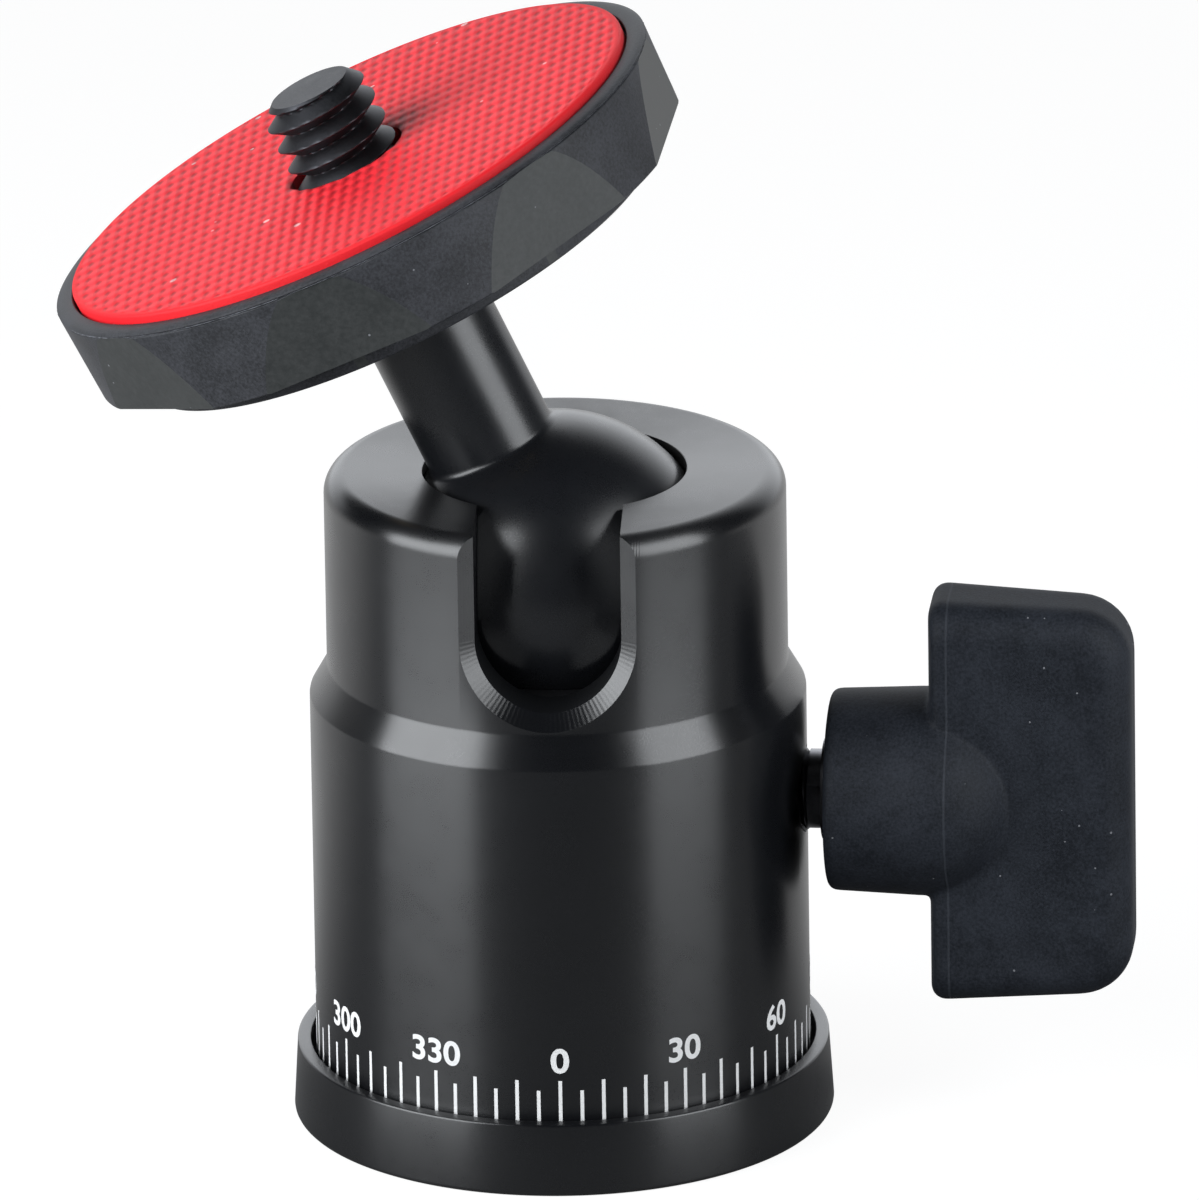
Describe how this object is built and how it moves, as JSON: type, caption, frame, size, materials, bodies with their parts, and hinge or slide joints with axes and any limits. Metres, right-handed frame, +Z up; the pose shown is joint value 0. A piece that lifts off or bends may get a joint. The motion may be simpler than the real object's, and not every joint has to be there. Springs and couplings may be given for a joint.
{
  "type": "tripod ball head",
  "caption": "Small tripod ball head: notched turned barrel on a pan base, a ball and stem under a lock disc with a grip pad and camera screw, and a wing knob that clamps the ball.",
  "frame": {"origin": "centre of the flat underside, at the mouth of the tripod socket", "axes": "+Z up along the barrel axis, +X on the knob side, -Y out through the drop notch; at rest the stem leans 25 degrees towards -X"},
  "size_m": [0.0592, 0.0358, 0.0623],
  "materials": {
    "black_anodised": "fine-turned aluminium, satin black anodised",
    "bare_aluminium": "bare turned aluminium",
    "dark_steel": "blackened steel",
    "bright_steel": "bright spring steel",
    "brass_bush": "machined brass",
    "white_plastic": "low-friction white plastic",
    "knob_plastic": "fine-grained moulded plastic with a parting line",
    "satin_black_ball": "satin black anodised, turned",
    "camera_screw_steel": "dark oxidised steel, lighter on the tip",
    "disc_plastic": "grainy moulded plastic with a flash line",
    "red_rubber": "red rubber with a fine woven texture"
  },
  "bodies": {
    "base": {"pan_base": "black_anodised", "base_screws": "dark_steel", "pan_spindle": "bare_aluminium", "tripod_bush": "brass_bush", "pan_washer": "white_plastic", "thrust_washer": "bright_steel", "spindle_circlip": "bright_steel"},
    "housing": {"barrel": "black_anodised", "bottom_plug": "bare_aluminium", "drag_spring": "bright_steel"},
    "plunger": {"clamp_plunger": "bare_aluminium"},
    "stud": {"clamp_stud": "dark_steel"},
    "knob": {"knob_bush": "dark_steel", "wing_knob": "knob_plastic"},
    "cup": {"ball_cup": "white_plastic"},
    "ball": {"ball_stem": "satin_black_ball"},
    "screw": {"camera_screw": "camera_screw_steel"},
    "disc_bush": {"disc_insert": "brass_bush"},
    "disc": {"platform_disc": "disc_plastic", "grip_pad": "red_rubber"}
  },
  "joints": [
    {"name": "pan", "type": "hinge", "parent": "base", "child": "housing", "pos_m": [0, 0, 0.0024], "axis": [0, 0, 1], "continuous": true},
    {"name": "plunger_lift", "type": "slide", "parent": "housing", "child": "plunger", "axis": [0, 0, -1], "range_m": [0, 0.0003]},
    {"name": "stud_slide", "type": "slide", "parent": "housing", "child": "stud", "axis": [0.9981, -0.061, 0], "range_m": [0, 0.0012]},
    {"name": "knob_turn", "type": "hinge", "parent": "stud", "child": "knob", "pos_m": [0.01996, -0.00122, 0.0188], "axis": [0.9981, -0.061, 0], "range_deg": [0, 540]},
    {"name": "ball_swivel", "type": "hinge", "parent": "housing", "child": "cup", "pos_m": [0, 0, 0.03125], "axis": [0, 0, 1], "continuous": true},
    {"name": "ball_tilt", "type": "hinge", "parent": "cup", "child": "ball", "pos_m": [0, 0, 0.03125], "axis": [0, 1, 0], "range_deg": [-0.4, 50.4]},
    {"name": "head_spin", "type": "hinge", "parent": "ball", "child": "screw", "pos_m": [-0.01014, 0, 0.053], "axis": [-0.4226, 0, 0.9063], "continuous": true},
    {"name": "disc_lift", "type": "slide", "parent": "screw", "child": "disc_bush", "axis": [-0.4226, 0, 0.9063], "range_m": [0, 0.00127]},
    {"name": "disc_turn", "type": "hinge", "parent": "disc_bush", "child": "disc", "pos_m": [-0.00972, 0, 0.0521], "axis": [-0.4226, 0, 0.9063], "range_deg": [0, 360]}
  ],
  "couplings": [
    {"joint": "knob_turn", "follows": "stud_slide", "rad_per_m": 7854},
    {"joint": "plunger_lift", "follows": "stud_slide", "ratio": 0.25},
    {"joint": "disc_turn", "follows": "disc_lift", "rad_per_m": 4947.4}
  ]
}
